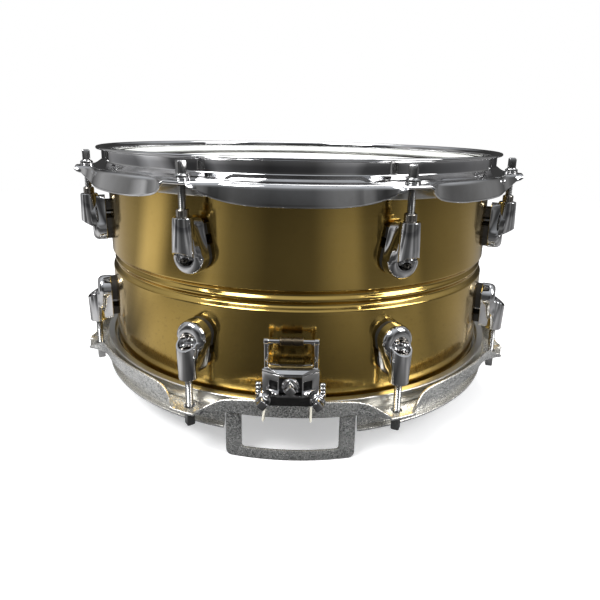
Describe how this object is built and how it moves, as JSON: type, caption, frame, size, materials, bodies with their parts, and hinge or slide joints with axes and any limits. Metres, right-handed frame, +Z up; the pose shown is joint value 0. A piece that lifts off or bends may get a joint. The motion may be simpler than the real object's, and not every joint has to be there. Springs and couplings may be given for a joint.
{
  "type": "snare drum",
  "caption": "Snare drum with a beaded brass shell, flanged steel hoops, swivel-nut lugs and rods, a bail-lever throw-off with coupled snare drop, and snare-guard loops it stands on.",
  "frame": {"origin": "on the drum's axis, at the underside of the two snare-guard loops the drum stands on", "axes": "+Z up along the drum's axis; -Y towards the throw-off, +Y towards the butt end"},
  "size_m": [0.392, 0.418, 0.2165],
  "materials": {
    "brass_shell": "polished and finely brushed raw brass, lightly tarnished",
    "chrome": "mirror chrome plating",
    "worn_chrome": "chrome plating, dull, pitted and speckled",
    "plain_steel": "bright plated steel",
    "knurled_metal": "dark knurled metal",
    "black_metal": "satin black",
    "black_rubber": "black rubber",
    "coated_film": "sprayed white coating on plastic film",
    "clear_film": "thin hazy clear plastic film",
    "aluminium_hoop": "bare aluminium channel",
    "steel_wire": "bright coiled steel wire",
    "copper_plate": "plated pressed sheet",
    "snare_cord": "off-white braided cord"
  },
  "bodies": {
    "drum": {"shell": "brass_shell", "vent_grommet": "chrome", "batter_head": "coated_film", "batter_flesh_hoop": "aluminium_hoop", "snare_head": "clear_film", "snare_flesh_hoop": "aluminium_hoop", "batter_hoop": "chrome", "snare_hoop": "worn_chrome", "guard_loops": "worn_chrome", "top_washers": "chrome", "bottom_washers": "chrome", "top_lugs": "chrome", "bottom_lugs": "chrome", "top_swivel_nuts": "plain_steel", "bottom_swivel_nuts": "plain_steel", "lug_gaskets": "black_rubber", "lug_screws": "plain_steel", "strainer_gasket": "black_rubber", "strainer_base": "chrome", "strainer_core": "black_metal", "strainer_block": "chrome", "lever_pin": "plain_steel", "strainer_screws": "plain_steel", "butt_gasket": "black_rubber", "butt_body": "chrome", "butt_clamp_bar": "black_metal", "butt_clamp_screws": "chrome", "butt_screws": "plain_steel", "rear_cords": "snare_cord"},
    "lever": {"lever_bail": "chrome"},
    "grip": {"lever_grip": "knurled_metal"},
    "carriage": {"snare_carriage": "chrome", "carriage_guides": "plain_steel", "clamp_bar": "black_metal", "clamp_screws": "chrome", "front_cords": "snare_cord"},
    "snares": {"snare_wires": "steel_wire", "front_end_plate": "copper_plate", "rear_end_plate": "copper_plate"},
    "tension": {"tension_screw": "chrome"},
    "top_rod_1": {"top_rod_1": "chrome"},
    "top_rod_2": {"top_rod_2": "chrome"},
    "top_rod_3": {"top_rod_3": "chrome"},
    "top_rod_4": {"top_rod_4": "chrome"},
    "top_rod_5": {"top_rod_5": "chrome"},
    "top_rod_6": {"top_rod_6": "chrome"},
    "top_rod_7": {"top_rod_7": "chrome"},
    "top_rod_8": {"top_rod_8": "chrome"},
    "bottom_rod_1": {"bottom_rod_1": "chrome"},
    "bottom_rod_2": {"bottom_rod_2": "chrome"},
    "bottom_rod_3": {"bottom_rod_3": "chrome"},
    "bottom_rod_4": {"bottom_rod_4": "chrome"},
    "bottom_rod_5": {"bottom_rod_5": "chrome"},
    "bottom_rod_6": {"bottom_rod_6": "chrome"},
    "bottom_rod_7": {"bottom_rod_7": "chrome"},
    "bottom_rod_8": {"bottom_rod_8": "chrome"}
  },
  "joints": [
    {"name": "lever_swing", "type": "hinge", "parent": "drum", "child": "lever", "pos_m": [0, -0.188, 0.074], "axis": [1, 0, 0], "range_deg": [0, 50]},
    {"name": "grip_spin", "type": "hinge", "parent": "lever", "child": "grip", "pos_m": [0, -0.188, 0.0946], "axis": [1, 0, 0], "continuous": true},
    {"name": "carriage_drop", "type": "slide", "parent": "drum", "child": "carriage", "axis": [0, 0, 1], "range_m": [-0.0046, 0]},
    {"name": "snare_drop", "type": "hinge", "parent": "drum", "child": "snares", "pos_m": [0, 0.187, 0.0327], "axis": [1, 0, 0], "range_deg": [0, 0.74]},
    {"name": "tension_turn", "type": "hinge", "parent": "drum", "child": "tension", "pos_m": [-0.0016, -0.2, 0.068], "axis": [0, 1, 0], "continuous": true},
    {"name": "top_rod_1_turn", "type": "hinge", "parent": "drum", "child": "top_rod_1", "pos_m": [0.07418, -0.17909, 0.199], "axis": [0, 0, 1], "continuous": true},
    {"name": "bottom_rod_1_turn", "type": "hinge", "parent": "drum", "child": "bottom_rod_1", "pos_m": [0.07418, -0.17909, 0.039], "axis": [0, 0, 1], "continuous": true},
    {"name": "top_rod_2_turn", "type": "hinge", "parent": "drum", "child": "top_rod_2", "pos_m": [0.17909, -0.07418, 0.199], "axis": [0, 0, 1], "continuous": true},
    {"name": "bottom_rod_2_turn", "type": "hinge", "parent": "drum", "child": "bottom_rod_2", "pos_m": [0.17909, -0.07418, 0.039], "axis": [0, 0, 1], "continuous": true},
    {"name": "top_rod_3_turn", "type": "hinge", "parent": "drum", "child": "top_rod_3", "pos_m": [0.17909, 0.07418, 0.199], "axis": [0, 0, 1], "continuous": true},
    {"name": "bottom_rod_3_turn", "type": "hinge", "parent": "drum", "child": "bottom_rod_3", "pos_m": [0.17909, 0.07418, 0.039], "axis": [0, 0, 1], "continuous": true},
    {"name": "top_rod_4_turn", "type": "hinge", "parent": "drum", "child": "top_rod_4", "pos_m": [0.07418, 0.17909, 0.199], "axis": [0, 0, 1], "continuous": true},
    {"name": "bottom_rod_4_turn", "type": "hinge", "parent": "drum", "child": "bottom_rod_4", "pos_m": [0.07418, 0.17909, 0.039], "axis": [0, 0, 1], "continuous": true},
    {"name": "top_rod_5_turn", "type": "hinge", "parent": "drum", "child": "top_rod_5", "pos_m": [-0.07418, 0.17909, 0.199], "axis": [0, 0, 1], "continuous": true},
    {"name": "bottom_rod_5_turn", "type": "hinge", "parent": "drum", "child": "bottom_rod_5", "pos_m": [-0.07418, 0.17909, 0.039], "axis": [0, 0, 1], "continuous": true},
    {"name": "top_rod_6_turn", "type": "hinge", "parent": "drum", "child": "top_rod_6", "pos_m": [-0.17909, 0.07418, 0.199], "axis": [0, 0, 1], "continuous": true},
    {"name": "bottom_rod_6_turn", "type": "hinge", "parent": "drum", "child": "bottom_rod_6", "pos_m": [-0.17909, 0.07418, 0.039], "axis": [0, 0, 1], "continuous": true},
    {"name": "top_rod_7_turn", "type": "hinge", "parent": "drum", "child": "top_rod_7", "pos_m": [-0.17909, -0.07418, 0.199], "axis": [0, 0, 1], "continuous": true},
    {"name": "bottom_rod_7_turn", "type": "hinge", "parent": "drum", "child": "bottom_rod_7", "pos_m": [-0.17909, -0.07418, 0.039], "axis": [0, 0, 1], "continuous": true},
    {"name": "top_rod_8_turn", "type": "hinge", "parent": "drum", "child": "top_rod_8", "pos_m": [-0.07418, -0.17909, 0.199], "axis": [0, 0, 1], "continuous": true},
    {"name": "bottom_rod_8_turn", "type": "hinge", "parent": "drum", "child": "bottom_rod_8", "pos_m": [-0.07418, -0.17909, 0.039], "axis": [0, 0, 1], "continuous": true}
  ],
  "couplings": [
    {"joint": "carriage_drop", "follows": "lever_swing", "m_per_rad": -0.00527},
    {"joint": "snare_drop", "follows": "lever_swing", "ratio": 0.0148}
  ]
}
